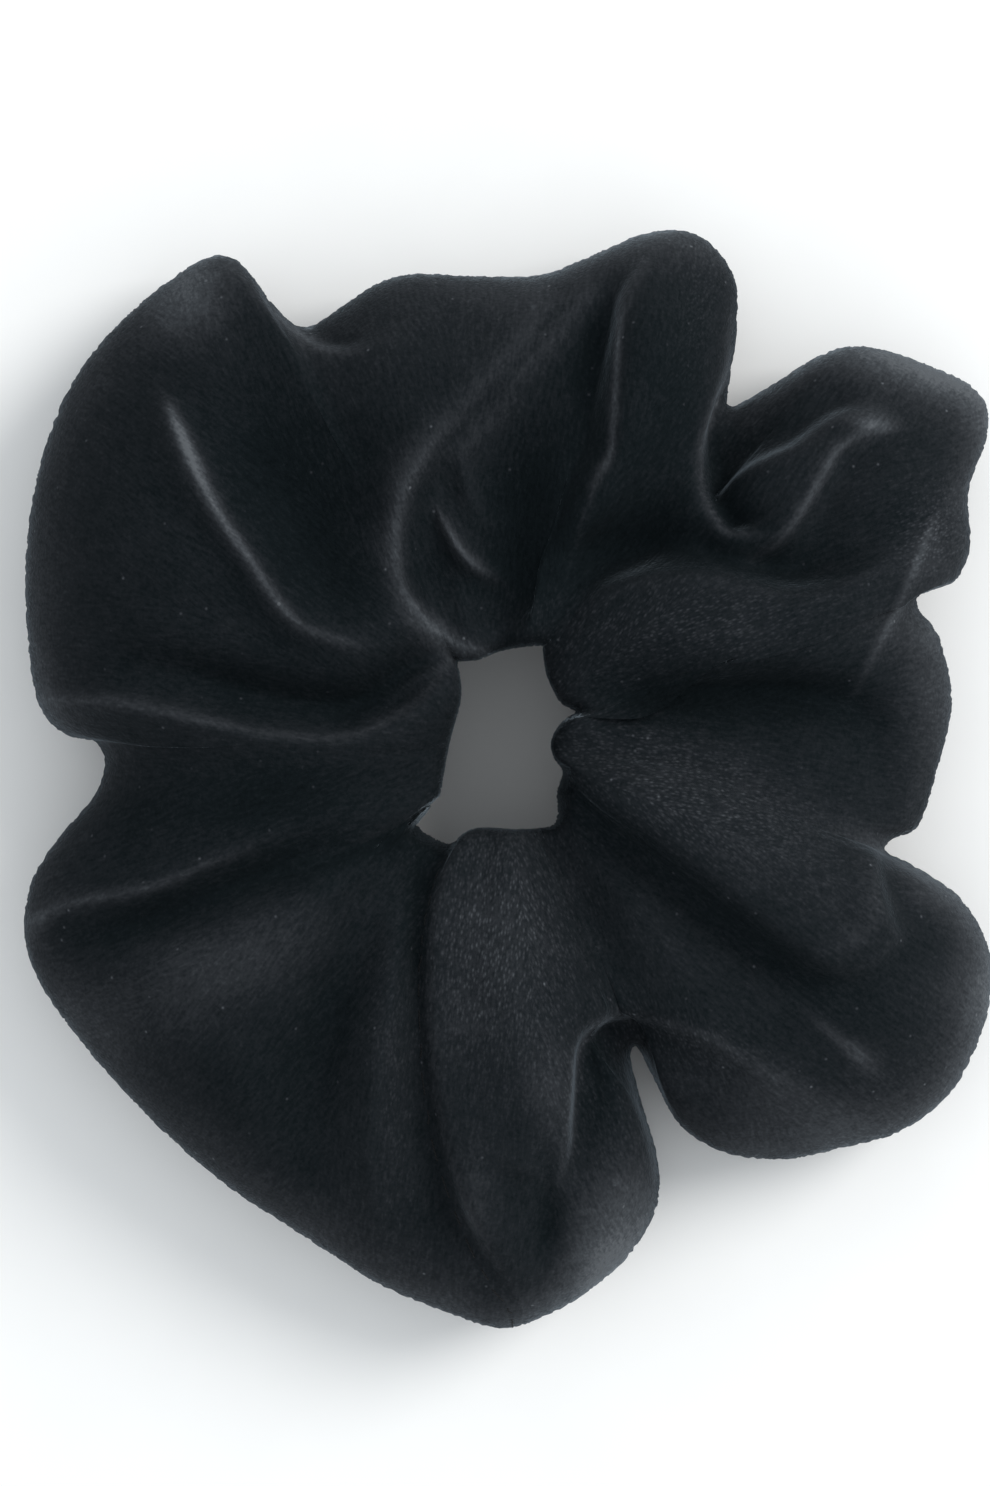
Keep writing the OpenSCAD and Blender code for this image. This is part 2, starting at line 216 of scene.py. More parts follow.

# An overlap: its high side stands up and fades over high_fade, with a rounded lip, and the
# low side drops and fades over low_fade. The high side is the one named, and a soft lip is
# rounder.
# Its light value paints a highlight along the lip where positive and shade where negative, and its
# shade value paints shade on the low side, under the overhang.
OVERLAPS = [
    dict(at=[(-14.2, 44.8, .2), (-16.8, 44.0, .6), (-19.6, 44.4, 1), (-22, 45.8, 1),
             (-25.5, 48.6, .4)],
         high="left", up=1.0, high_fade=6, drop=2.4, low_fade=6, painted_light=.7, painted_shade=.1),
    dict(at=[(6.4, 16, .1), (7.6, 20.4, .3), (9.2, 26, .6), (10.8, 30.4, 1), (12, 32.6, 1),
             (12.2, 36, 1), (12.8, 44, 1), (13.2, 49.6, .9), (14.8, 52.4, .5)],
         high="right", up=1.3, high_fade=5, drop=2.6, low_fade=4, painted_light=.9, painted_shade=.2),
    dict(at=[(29.6, 23.4, .1), (28, 23.7, .6), (25.6, 24, 1), (23.6, 26.6, 1), (22.8, 30.4, 1),
             (23.2, 34.4, 1), (24.4, 38, 1), (25.7, 41.5, .8), (26.3, 47, .4)],
         high="left", up=1.6, high_fade=8, drop=5.5, low_fade=4.5, painted_light=1.0, painted_shade=.5),
    dict(at=[(-4.6, -10.8, .6), (-6.6, -14, 1), (-7.6, -18, 1), (-8.2, -24, .9), (-8.1, -32, .6),
             (-7.5, -39, .6), (-6.1, -46, .8), (-3.8, -52.6, .9), (-.4, -58.8, .6), (2, -62.6, .3)],
         high="left", up=1.4, high_fade=6, drop=2.3, low_fade=2.6, painted_light=.35, painted_shade=.3),
    dict(at=[(6, 12.4, .3), (7.4, 15.4, .7), (10, 17.8, 1), (14, 19.3, 1), (20.2, 20.0, 1),
             (26, 19.4, 1), (32, 18.2, .9), (37.5, 18.6, .8), (43, 21.4, .3)],
         high="right", up=1.1, high_fade=7, drop=1.6, low_fade=3.6, painted_light=-.25, painted_shade=.15, soft=.6),
    dict(at=[(6.2, -2.4, .5), (8, -5.2, .8), (10.6, -7.6, 1), (16.2, -11.2, 1), (21.8, -15.6, 1),
             (26.9, -19.6, 1), (31.4, -23.2, .9), (35.2, -25.6, .5), (38, -27, .1)],
         high="left", up=1.3, high_fade=7, drop=1.6, low_fade=3.4, painted_light=-.3, painted_shade=.3, soft=.7),
    dict(at=[(43.4, -11, .2), (42.4, -14, .8), (42.4, -17, 1), (43.8, -19.8, 1), (44.6, -21.8, 1),
             (43.0, -24.2, 1), (40, -25.8, .9), (36, -26.0, .6)],
         high="right", up=.9, high_fade=4, drop=1.5, low_fade=3.5, painted_light=.25, painted_shade=.15, soft=.45),
    dict(at=[(30, -37.2, 0), (26.6, -35.2, .2), (23.3, -33.5, .35), (18.7, -31.9, .5),
             (14.8, -31.1, .8), (12.2, -31.3, 1), (10.3, -32.5, 1), (9.1, -34.6, 1),
             (8.6, -37.4, 1), (8.3, -41.8, 1), (7.9, -46, .7), (6.4, -51, .2)],
         high="right", up=1.2, high_fade=5, drop=4.0, low_fade=4.5, painted_light=.8, painted_shade=.2, soft=.4),
    dict(at=[(-7.4, -7.2, .1), (-10, -8.5, .6), (-13, -10.2, 1), (-16.8, -12.0, .8),
             (-22.4, -14.4, .4), (-28, -15.6, 0)],
         high="right", up=.8, high_fade=5, drop=1.6, low_fade=3, painted_light=.1, painted_shade=.5, soft=.8),
]

# A raised panel: everything inside the outline is height higher, over soft at its edge.
PANELS = [
    dict(outline=[(-2.6, 13.4), (-7.8, 16), (-9.4, 20), (-9.5, 24.5), (-8, 29.2), (-5.2, 33.6),
                  (-1.2, 37.6), (3.4, 42.8), (7.4, 47.8), (12, 51.5), (12.4, 47), (11.7, 40),
                  (11.2, 34), (9.4, 28.6), (7.2, 22), (5.0, 16.5), (1.5, 13.8)],
         height=-4.4, soft=4.5),
    dict(outline=[(23.6, 29), (26, 30.4), (30, 32.4), (33, 34), (35.6, 36.4), (38.6, 38.4),
                  (36, 41), (30, 40.6), (26, 40.2), (24.4, 36), (23.4, 32)],
         height=-2.4, soft=2.8),
    dict(outline=[(24.8, 29.4), (28, 31.4), (32, 32.8), (34.4, 34.4), (36.8, 36), (39.2, 36.8),
                  (42.4, 36.3), (43, 35.2), (40, 34), (37.6, 32.4), (36.4, 30.4), (34.4, 26.8),
                  (32, 23.2), (29, 21), (25.6, 21.6), (24, 25)],
         height=2.0, soft=1.6),
]

# Broad swellings and hollows: x, y, height, radius along and across, and direction.
SWELLS = [
    (-40, 20, 1.6, 12, 8, 90), (-20, 27, -2.6, 12, 7, 105), (-33, -36, 1.2, 12, 8, 140),
    (0, -24, 1.4, 11, 5, 90), (46, -28, 1.2, 9, 7, 80), (28, -29, -1.6, 8, 3.5, 150),
    (18, 42, 1.6, 12, 5, 95), (45, 31, 1.2, 9, 5, 80), (36, 25, -1.4, 5, 2.6, 60),
    (2, -51, -1.6, 4, 3, 90), (48, 4, .8, 7, 4, 80), (-30, -6, 1.0, 12, 4, 10),
    (-9, 44, .8, 9, 6, 20), (16, 27, -1.2, 7, 4, 80), (21, 12.5, 2.2, 17, 5, 3),
    (24, -8, 1.0, 15, 7, -32),
]

# How much paler the colour is there, as above, with the amount in place of the height: partly the
# pile's own paler patches, partly painted highlights and painted shade.
TONES_AND_LIGHT = [
    (0, -23, .9, 15, 8, 85), (21, -5, .65, 19, 6.5, -30), (20, 13, .45, 18, 4.6, 3),
    (34, -13, .15, 10, 8, -35), (-33, -25.5, .85, 17, 5.5, 22), (-10, -36, .35, 16, 3, 94),
    (-13.3, -38, .25, 18, 2.6, 94),
    (12, -54, 1.2, 9, 4.5, 75), (-3, -52, .6, 6, 2.6, 90), (-34.6, 48.5, 1.05, 4.5, 4, 60),
    (-34.8, 33, .8, 5, .8, -61), (-6.6, 12.8, .6, 3.5, 1.2, -42),
    (-10, 46, .3, 12, 5.5, 20), (46, 4, .1, 7, 8, 90), (53, -28, .3, 4, 8, 80),
    (34, -42, .25, 12, 4, 0), (28, -39, .5, 14, 4.0, -20), (37.2, -32.6, .8, 4, .8, -40),
    (40.4, -35.2, .9, 2.8, 1.5, -42), (18.5, -23, .3, 5, 4, -45),
    (47.5, -16.5, .5, 4, 4, 0), (45.5, 12, .45, 4, 2.6, 10), (41.4, 35.6, .9, 2.4, .7, -8),
    (10, 44, -.25, 9, 1.6, 80),
    (18, 40, -.2, 12, 6, 90), (32, 28, .25, 6, 4, 55), (6, -40, .75, 6, 3, 90),
    (48, 21, .8, 4, 3, 80), (-28, -6, -.45, 14, 4, 8), (-22, 26, -.35, 11, 7, 100),
    (3, 24, -.5, 12, 5, 80), (12, 22, -.4, 8, 5, 60), (41, 28, .2, 8, 5, 70),
    (-14, 18, -.3, 5, 4, 0), (47, 5, .15, 6, 3, 80), (41.5, 36, .5, 2, 2, 0),
    (20, -19, .15, 16, 3, -42), (-20, -40, .15, 14, 4, 100),
]

# Where the knit's rows show as fine ticks in the pile, as above.
TICKS = [
    (0, -22, 1, 14, 9, 90), (20, -5, 1, 17, 6, -25), (20, 13, .9, 17, 5, 3), (12, -38, .5, 9, 6, 80),
    (22, -33, .6, 8, 3, -20), (-12, -40, .35, 16, 3, 95), (48, 24, .8, 5, 5, 80),
    (28, 33, .4, 7, 4, 50), (22, 48, .5, 9, 3, 90),
]

# And how much paler painted sheen makes it towards the outer edge, at these angles in degrees.
RIM_SHEEN = [
    (0, .9), (12, 1.0), (22, .6), (30, 1.1), (40, 2.4), (52, 1.3), (62, .3), (70, 1.4), (78, 1.1),
    (90, .7), (100, .6), (112, .4), (122, 1.2), (135, .8), (150, .7), (165, 1.0), (176, 1.2),
    (185, .4), (200, .8), (215, .8), (232, .9), (248, 1.0), (262, 1.1), (275, 1.4), (286, 1.2),
    (292, .4), (302, 1.3), (316, 1.3), (330, 1.5), (342, 1.3), (350, .5),
]

PLEATS = 46               # gathers underneath, round the ring
PLEAT_DEEP = 8.2          # mm, how far they rise off the table
PLEAT_BACK = 1.3          # mm, how far they draw back from the hole's edge
EDGE_HEIGHT = 9.0         # mm, where the outer edge turns under
HOLE_EDGE_RISE = 8.0      # mm, how much higher the hole's edge is
TUFT_SHORT, TUFT_LONG = -.1, .28      # mm, of the pile along the outline
TABLE_GAP = .05           # mm, the least height of the skin
RIPPLE_HIGH = .16         # mm, of the cloth's slight unevenness
# how many stations the outline's broad and middling turns, and the hole's, are calmed over
CALM_BROAD, CALM_MIDDLE, CALM_HOLE = 32, 13, 12

COVER_THICK = 1.3         # mm, of the elastic's braid
CORD_THICK, CORDS = .44, 8            # mm, of the rubber cords in it, and how many
OVERLAP_GATHER = 2        # the gather that the elastic's two ends overlap in
TACK_COLUMNS = (.15, .38, .61, .84)   # across the overlap
TACK_RADIUS = .08         # mm

SEAM_RADIUS = .15         # mm, of the long seam's thread
SEAM_IN = 2.4             # mm, from the hole's edge to the long seam
LONG_STITCHES = 68
LONG_PITCH = 5.0          # degrees
LONG_START = 22.0         # degrees from the closing seam to the first, past the tucked end
STITCH_HALF = .36         # of a pitch, from a long stitch's middle to its end

CLOSING = 3               # the overlap that is the closing seam
CLOSING_STITCHES = 36
CLOSING_LONG = .55        # of a stitch's pitch
CLOSING_RADIUS = .13      # mm
CLOSING_SUNK = .07        # mm, into the pile
CLOSING_BESIDE = .8       # degrees, from the lip

END_FADE = 2.5            # mm, over which a fold fades past its ends
DEEPEST = 9               # mm, no hollow goes deeper
RIM_SHEEN_WIDE = 3.6            # mm, the painted sheen along the outer edge
GRAIN_FINE, GRAIN_LONG = .38, 1.5     # mm, one unit of the cloth's grain, across and along
NAP_LEAN = .2             # how far the pile leans along the ring
PILE_TONE = .29           # its tone everywhere, before what the folds add
AT_ONCE = 8000            # places measured at a time, to spare memory

FLOOR_SIZE = 6.0          # m
SKY_COLOUR, SKY_STRENGTH = (.93, .97, 1, 1), .9
WINDOW_AT = (.80, .42, .75)           # m
WINDOW_SIZE, WINDOW_POWER = .6, 9     # m and W
WINDOW_COLOUR = (1, .99, .97)

LOOK_HEIGHT = 400.0       # mm, camera above the plane of the outline
LOOK_PLANE = 9.0          # mm
LOOK_AT = (-.6, -.1)      # mm
VIEW_TALL = .1664         # m, height of the view at that plane


def spline(points, per_span, closed=False):
    """Catmull-Rom through the points, with per_span points to each span."""
    p = np.array([tuple(q) + (1.0,) * (3 - len(q)) for q in points], float)
    n = len(p)
    spans = n if closed else n - 1
    pick = (lambda i: p[i % n]) if closed else (lambda i: p[np.clip(i, 0, n - 1)])
    i = np.repeat(np.arange(spans), per_span)
    t = np.tile(np.arange(per_span) / per_span, spans)[:, None]
    a, b, c, d = pick(i - 1), pick(i), pick(i + 1), pick(i + 2)
    out = b + .5 * t * (c - a + t * (2 * a - 5 * b + 4 * c - d + t * (3 * (b - c) + d - a)))
    return out if closed else np.vstack([out, p[-1:]])


def evenly(line, count):
    """A closed line resampled at count places with equal distances between them."""
    loop = np.vstack([line, line[:1]])
    along = np.concatenate([[0], np.cumsum(np.linalg.norm(np.diff(loop, axis=0), axis=1))])
    at = np.linspace(0, along[-1], count, endpoint=False)
    return np.stack([np.interp(at, along, loop[:, k]) for k in range(loop.shape[1])], axis=1)


def evenly_open(line, count):
    """An open line resampled in the same way, ends included."""
    p = np.array(line, float)
    along = np.concatenate([[0], np.cumsum(np.linalg.norm(np.diff(p, axis=0), axis=1))])
    at = np.linspace(0, along[-1], count)
    return np.stack([np.interp(at, along, p[:, i]) for i in range(3)], axis=1)


def around(angles, table):
    """A value at each angle from a list of (angle, value), periodic and smooth."""
    a = np.array([x for x, _ in table], float)
    v = np.array([y for _, y in table], float)
    a = np.concatenate([a[-2:] - 360, a, a[:2] + 360])
    v = np.concatenate([v[-2:], v, v[:2]])
    fine = spline(np.stack([a, v], axis=1), 12)
    return np.interp(np.asarray(angles) % 360, fine[:, 0], fine[:, 1])


def beside(xy, line, reach):
    """For the places within reach of the line: their numbers, signed distance (positive on
    the right) and the line's strength there, faded past its ends."""
    low, high = line[:, :2].min(0) - reach, line[:, :2].max(0) + reach
    near = np.where(((xy > low) & (xy < high)).all(axis=1))[0]
    way = np.gradient(line[:, :2], axis=0)
    way /= np.linalg.norm(way, axis=1)[:, None] + 1e-9
    side, past, strength = np.zeros((3, len(near)))
    for start in range(0, len(near), AT_ONCE):
        here = slice(start, start + AT_ONCE)
        off = xy[near[here]][:, None, :] - line[None, :, :2]
        apart = (off ** 2).sum(axis=2)
        least = apart.min(axis=1, keepdims=True)
        # all the line's near points count, so that nothing jumps where it turns
        share = np.exp((least - apart) / (.6 + .12 * least))
        share /= share.sum(axis=1, keepdims=True)
        side[here] = (share * (way[:, 1] * off[:, :, 0] - way[:, 0] * off[:, :, 1])).sum(axis=1)
        past[here] = (share * (way * off).sum(axis=2)).sum(axis=1)
        strength[here] = share @ np.maximum(line[:, 2], 0)
    return near, side, strength * np.exp(-(past / END_FADE) ** 2)


def inside(xy, outline):
    """Signed distance to a closed outline, positive within it."""
    ring = spline(outline, 6, closed=True)[:, :2]
    low, high = ring.min(0) - 9, ring.max(0) + 9
    near = np.where(((xy > low) & (xy < high)).all(axis=1))[0]
    p = xy[near]
    dist = np.zeros(len(p))
    for start in range(0, len(p), AT_ONCE):
        here = slice(start, start + AT_ONCE)
        apart = ((p[here][:, None, :] - ring[None, :, :]) ** 2).sum(axis=2)
        dist[here] = np.sqrt(apart.min(axis=1))
    within = np.zeros(len(p), bool)
    for (x0, y0), (x1, y1) in zip(ring, np.roll(ring, -1, axis=0)):
        crosses = (y0 > p[:, 1]) != (y1 > p[:, 1])
        with np.errstate(divide="ignore", invalid="ignore"):
            within ^= crosses & (p[:, 0] < (x1 - x0) * (p[:, 1] - y0) / (y1 - y0) + x0)
    return near, np.where(within, dist, -dist)


def swell(xy, entries):
    """Sum of the entries' soft oval spots at these places."""
    total = np.zeros(len(xy))
    for x, y, h, along, across, direction in entries:
        c, s = math.cos(math.radians(direction)), math.sin(math.radians(direction))
        dx, dy = xy[:, 0] - x, xy[:, 1] - y
        total += h * np.exp(-((dx * c + dy * s) / along) ** 2 - ((dy * c - dx * s) / across) ** 2)
    return total


def fold_heights(xy):
    """What all the folds add at these places, in mm."""
    total = swell(xy, SWELLS)
    for f in RIDGES:
        near, d, k = beside(xy, spline(f["at"], 10), 3 * max(f["left"], f["right"]))
        wide = np.where(d > 0, f["right"], f["left"])
        total[near] += k * f["height"] * np.exp(-(np.abs(d) / wide) ** 1.5)
    for f in VALLEYS:
        near, d, k = beside(xy, spline(f["at"], 10), 3 * f["wide"])
        total[near] -= k * f["depth"] * np.exp(-(np.abs(d) / f["wide"]) ** 1.8)
    for f in OVERLAPS:
        near, d, k = beside(xy, spline(f["at"], 10), 3 * max(f["high_fade"], f["low_fade"]))
        if f["high"] == "right":
            d = -d
        soft = f.get("soft", .25)
        low = 1 / (1 + np.exp(-np.clip((d - .35) / soft, -40, 40)))     # 0 high, 1 low
        far = np.abs(d)
        lip = np.exp(-(far / f["high_fade"]) ** 2) - .8 * np.exp(-far / (.55 + soft))
        total[near] += k * (f["up"] * lip * (1 - low)
                            - f["drop"] * np.exp(-(far / f["low_fade"]) ** 1.5) * low)
    for f in PANELS:
        near, d = inside(xy, f["outline"])
        total[near] += f["height"] / (1 + np.exp(-np.clip((d + .2) * 4 / f["soft"], -40, 40)))
    return np.where(total < 0, DEEPEST * np.tanh(total / DEEPEST), total)


def tones_with_painted_light(seen, gap, angles):
    """How pale the colour is at these places, gap mm in from the outer edge: painted sheen, highlights
    and shade, with the pile's own paler patches.
    """
    # patches of painted highlight and shade with the pile's own paler patches, then painted sheen
    # towards the outer edge
    tone_and_light = swell(seen, TONES_AND_LIGHT) + around(angles, RIM_SHEEN) * np.exp(-(np.maximum(gap, 0) / RIM_SHEEN_WIDE) ** 1.4)
    # painted highlight along each ridge's crest
    for f in RIDGES:
        if "painted_light" in f:
            near, d, k = beside(seen, spline(f["at"], 10), 3 * max(f["highlight_wide"]))
            wide = np.where(d > 0, f["highlight_wide"][1], f["highlight_wide"][0])
            tone_and_light[near] += k * f["painted_light"] * np.exp(-(np.abs(d) / wide) ** 1.6)
    # painted shade along each valley's crease
    for f in VALLEYS:
        near, d, k = beside(seen, spline(f["at"], 10), 3 * f["wide"])
        tone_and_light[near] -= k * f["painted_shade"] * np.exp(-(np.abs(d) / f["wide"]) ** 1.8)
    # painted highlight along each overlap's lip, shade where its value is negative, and painted shade
    # on its low side
    for f in OVERLAPS:
        near, d, k = beside(seen, spline(f["at"], 10), 3 * f["low_fade"])
        if f["high"] == "right":
            d = -d
        tone_and_light[near] += k * f["painted_light"] * np.exp(-(np.abs(d + .3) / .6) ** 1.6)
        tone_and_light[near] -= k * f["painted_shade"] * np.exp(-(d / f["low_fade"]) ** 2) * (d > 0)
    return tone_and_light


def ripples(seed, count, low, high, xy):
    """Sum of random waves whose lengths run from low to high, in mm."""
    rng = np.random.default_rng(seed)
    out = np.zeros(len(xy))
    for _ in range(count):
        a, length, phase = rng.uniform(0, TAU), rng.uniform(low, high), rng.uniform(0, TAU)
        out += np.sin((xy[:, 0] * math.cos(a) + xy[:, 1] * math.sin(a)) * TAU / length + phase)
    return out / math.sqrt(count)


def grid_normals(g):
    """Outward normals of a grid of points [station, round the section]."""
    along = np.roll(g, -1, axis=0) - np.roll(g, 1, axis=0)
    across = np.roll(g, -1, axis=1) - np.roll(g, 1, axis=1)
    n = np.cross(across, along)
    return n / (np.linalg.norm(n, axis=2, keepdims=True) + 1e-12)


def smoothed(g, times):
    """The grid with each point drawn halfway to the mean of its neighbours, times over."""
    for _ in range(times):
        mean = (np.roll(g, 1, 0) + np.roll(g, -1, 0) + np.roll(g, 1, 1) + np.roll(g, -1, 1)) / 4
        g = g + .5 * (mean - g)
    return g


def as_seen(p):
    """Where points appear on the outline's plane from the camera, in mm."""
    scale = LOOK_HEIGHT / (LOOK_HEIGHT + LOOK_PLANE - p[:, 2])
    return np.array(LOOK_AT) + (p[:, :2] - LOOK_AT) * scale[:, None]


def calmed(values, wide):
    """Closed list of values, smoothed over wide stations each way."""
    reach = 60
    share = np.exp(-(np.arange(-reach, reach + 1) / wide) ** 2)
    looped = np.concatenate([values[-reach:], values, values[:reach]])
    return np.convolve(looped, share / share.sum(), "valid")


def sleeve_grid():
    """The sleeve's skin and its normals in mm, [station, point], each station's angle and
    outer radius, and the hole's outline as angles and radii."""
    outer = evenly(spline(OUTER, 12, closed=True)[:, :2], STATIONS)
    angle = np.degrees(np.unwrap(np.arctan2(outer[:, 1], outer[:, 0])))
    angle = np.maximum.accumulate(angle) + np.linspace(0, 1e-3, STATIONS)
    r_out = np.hypot(outer[:, 0], outer[:, 1])
    ring = spline(INNER, 12, closed=True)
    in_angle = np.degrees(np.arctan2(ring[:, 1], ring[:, 0])) % 360
    order = np.argsort(in_angle)
    a, r = in_angle[order], np.hypot(ring[:, 0], ring[:, 1])[order]
    r_in = np.interp(angle % 360, np.concatenate([[a[-1] - 360], a, [a[0] + 360]]),
                     np.concatenate([[r[-1]], r, [r[0]]]))
    th = np.radians(angle)[:, None]
    pleat = .5 + .5 * np.sin(PLEATS * th + 2.4 * np.sin(3 * th + 1) + 1.3 * np.sin(7 * th + 2))
    crown = around(angle, CROWN)
    b = math.pi * np.concatenate([np.linspace(0, 1, TOP_POINTS, endpoint=False),
                                  np.linspace(1, 0, BOTTOM_POINTS, endpoint=False)])
    upper = (np.arange(len(b)) < TOP_POINTS)[None, :]
    share = ((1 - np.cos(b)) / 2)[None, :]
    share = np.where(upper, share ** 1.3, share)
    rise = np.sin(b)[None, :]
    # the outline's small turns show near the rim only, and its broad ones further in
    r_calm = calmed(r_out, CALM_BROAD)
    r_mid = calmed(r_out, CALM_MIDDLE)
    r_hole = calmed(r_in, CALM_HOLE)
    radius = (r_hole[:, None] + (r_in - r_hole)[:, None] * (1 - share) ** 8
              + (r_calm - r_hole)[:, None] * share
              + (r_mid - r_calm)[:, None] * share ** 3
              + (r_out - r_mid)[:, None] * share ** 8)
    near_hole = np.exp(-(share / .12) ** 2) * (1 - np.exp(-(share / .02) ** 2))
    radius = radius + PLEAT_BACK * pleat * near_hole * ~upper
    edge = EDGE_HEIGHT + HOLE_EDGE_RISE * (1 - share) ** 2
    steep = .58 + .24 * np.clip(share / .4, 0, 1)
    # underneath, the gathers fade out at both edges
    gathers = pleat * rise ** .6 * (1 - share ** 3) * (1 - np.exp(-(share / .22) ** 2))
    z = np.where(upper, edge + (crown[:, None] - edge) * rise ** steep,
                 np.maximum(0, edge * (1 - 1.5 * rise ** .8)) + PLEAT_DEEP * gathers)
    g = np.stack([radius * np.cos(th), radius * np.sin(th), z], axis=2)
    flat = g.reshape(-1, 3)
    n = grid_normals(g)
    n[:, :, 2] += np.where(upper, .6 * rise, 0)
    n = (n / np.linalg.norm(n, axis=2, keepdims=True)).reshape(-1, 3)
    top = np.broadcast_to(upper, z.shape).ravel()
    add = RIPPLE_HIGH * ripples(5, 14, 7, 22, flat[:, :2])
    add[top] += fold_heights(as_seen(flat[top]))
    hold = np.where(upper, .16 + .84 * rise ** .5, 0)
    hold = hold * (1 - np.clip((share - .75) / .25, 0, 1) ** 1.5)
    grip = np.broadcast_to(np.where(upper, hold, 0), z.shape).ravel()
    flat = flat + n * (add * grip)[:, None]
    g = smoothed(flat.reshape(g.shape), 2)
    g[:, :, 2] = np.maximum(g[:, :, 2], TABLE_GAP)
    normals = grid_normals(smoothed(g, 1))
    # the pile roughens the outline: tufts of uneven length stand out along the rim
    tufts = np.random.default_rng(3).uniform(TUFT_SHORT, TUFT_LONG, z.shape)
    rim = np.exp(-((share - 1) / .05) ** 2) + .7 * np.exp(-(share / .03) ** 2)
    g[:, :, :2] += normals[:, :, :2] * (tufts * rim)[:, :, None]
    hole = (angle[np.argsort(angle % 360)] % 360, r_in[np.argsort(angle % 360)])
    return g, normals, angle, r_out, hole


def new_mesh(name, points, faces, smooth=True):
    mesh = bpy.data.meshes.new(name)
    mesh.from_pydata([tuple(p) for p in points], [], [tuple(f) for f in faces])
    mesh.update()
    if smooth:
        mesh.shade_smooth()
    obj = bpy.data.objects.new(name, mesh)
    bpy.context.scene.collection.objects.link(obj)
    return obj


def add_attribute(obj, name, kind, values):
    field = "vector" if kind == "FLOAT_VECTOR" else "value"
    obj.data.attributes.new(name, kind, "POINT").data.foreach_set(
        field, np.asarray(values, np.float32).ravel())


def middle_of(k):
    return SEAM_ANGLE + GATHER_ANGLE * (k - 1)


def bend(obj):
    """Bakes obj's transform into its mesh."""
    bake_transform(obj)


# ---------------------------------------------------------------- materials

class Nodes:
    """Short ways to add shader nodes to a new material."""

    def __init__(self, name):
        self.material = bpy.data.materials.new(name)
        self.material.use_nodes = True
        self.tree = self.material.node_tree
        self.shader = self.tree.nodes["Principled BSDF"]
        self.coord = self.tree.nodes.new("ShaderNodeTexCoord").outputs["Object"]

    def link(self, a, b):
        self.tree.links.new(a, b)

    def set(self, **values):
        for name, value in values.items():
            self.shader.inputs[name.replace("_", " ")].default_value = value

    def attribute(self, name, output="Fac"):
        node = self.tree.nodes.new("ShaderNodeAttribute")
        node.attribute_name = name
        return node.outputs[output]

    def noise(self, scale, detail=2, vector=None):
        node = self.tree.nodes.new("ShaderNodeTexNoise")
        node.inputs["Scale"].default_value = scale
        node.inputs["Detail"].default_value = detail
        self.link(vector or self.coord, node.inputs["Vector"])
        return node.outputs["Fac"]

    def math(self, operation, *values):
        node = self.tree.nodes.new("ShaderNodeMath")
        node.operation = operation
        for socket, value in zip(node.inputs, values):
            if hasattr(value, "links"):
                self.link(value, socket)
            else:
                socket.default_value = value
        return node.outputs[0]

    def clamped(self, operation, *values):
        out = self.math(operation, *values)
        out.node.use_clamp = True
        return out

    def cells(self, scale, vector=None):
        node = self.tree.nodes.new("ShaderNodeTexVoronoi")
        node.inputs["Scale"].default_value = scale
        self.link(vector or self.coord, node.inputs["Vector"])
        return node.outputs["Distance"]

    def vector(self, operation, *values):
        node = self.tree.nodes.new("ShaderNodeVectorMath")
        node.operation = operation
        sockets = [s for s in node.inputs if s.name != "Scale"]
        for socket, value in zip(sockets, values):
            if hasattr(value, "links"):
                self.link(value, socket)
            elif isinstance(value, tuple):
                socket.default_value = value
            else:
                node.inputs["Scale"].default_value = value
        return node.outputs[0]

    def ramp(self, factor, *stops):
        node = self.tree.nodes.new("ShaderNodeValToRGB")
        elements = node.color_ramp.elements
        while len(elements) < len(stops):
            elements.new(.5)
        for element, (at, colour) in zip(elements, stops):
            element.position = at
            element.color = (*colour, 1)
        self.link(factor, node.inputs["Fac"])
        return node.outputs["Color"]

    def bump(self, height, strength, distance, normal=None):
        node = self.tree.nodes.new("ShaderNodeBump")
        node.inputs["Strength"].default_value = strength
        node.inputs["Distance"].default_value = distance
        self.link(height, node.inputs["Height"])
        if normal:
            self.link(normal, node.inputs["Normal"])
        self.link(node.outputs["Normal"], self.shader.inputs["Normal"])


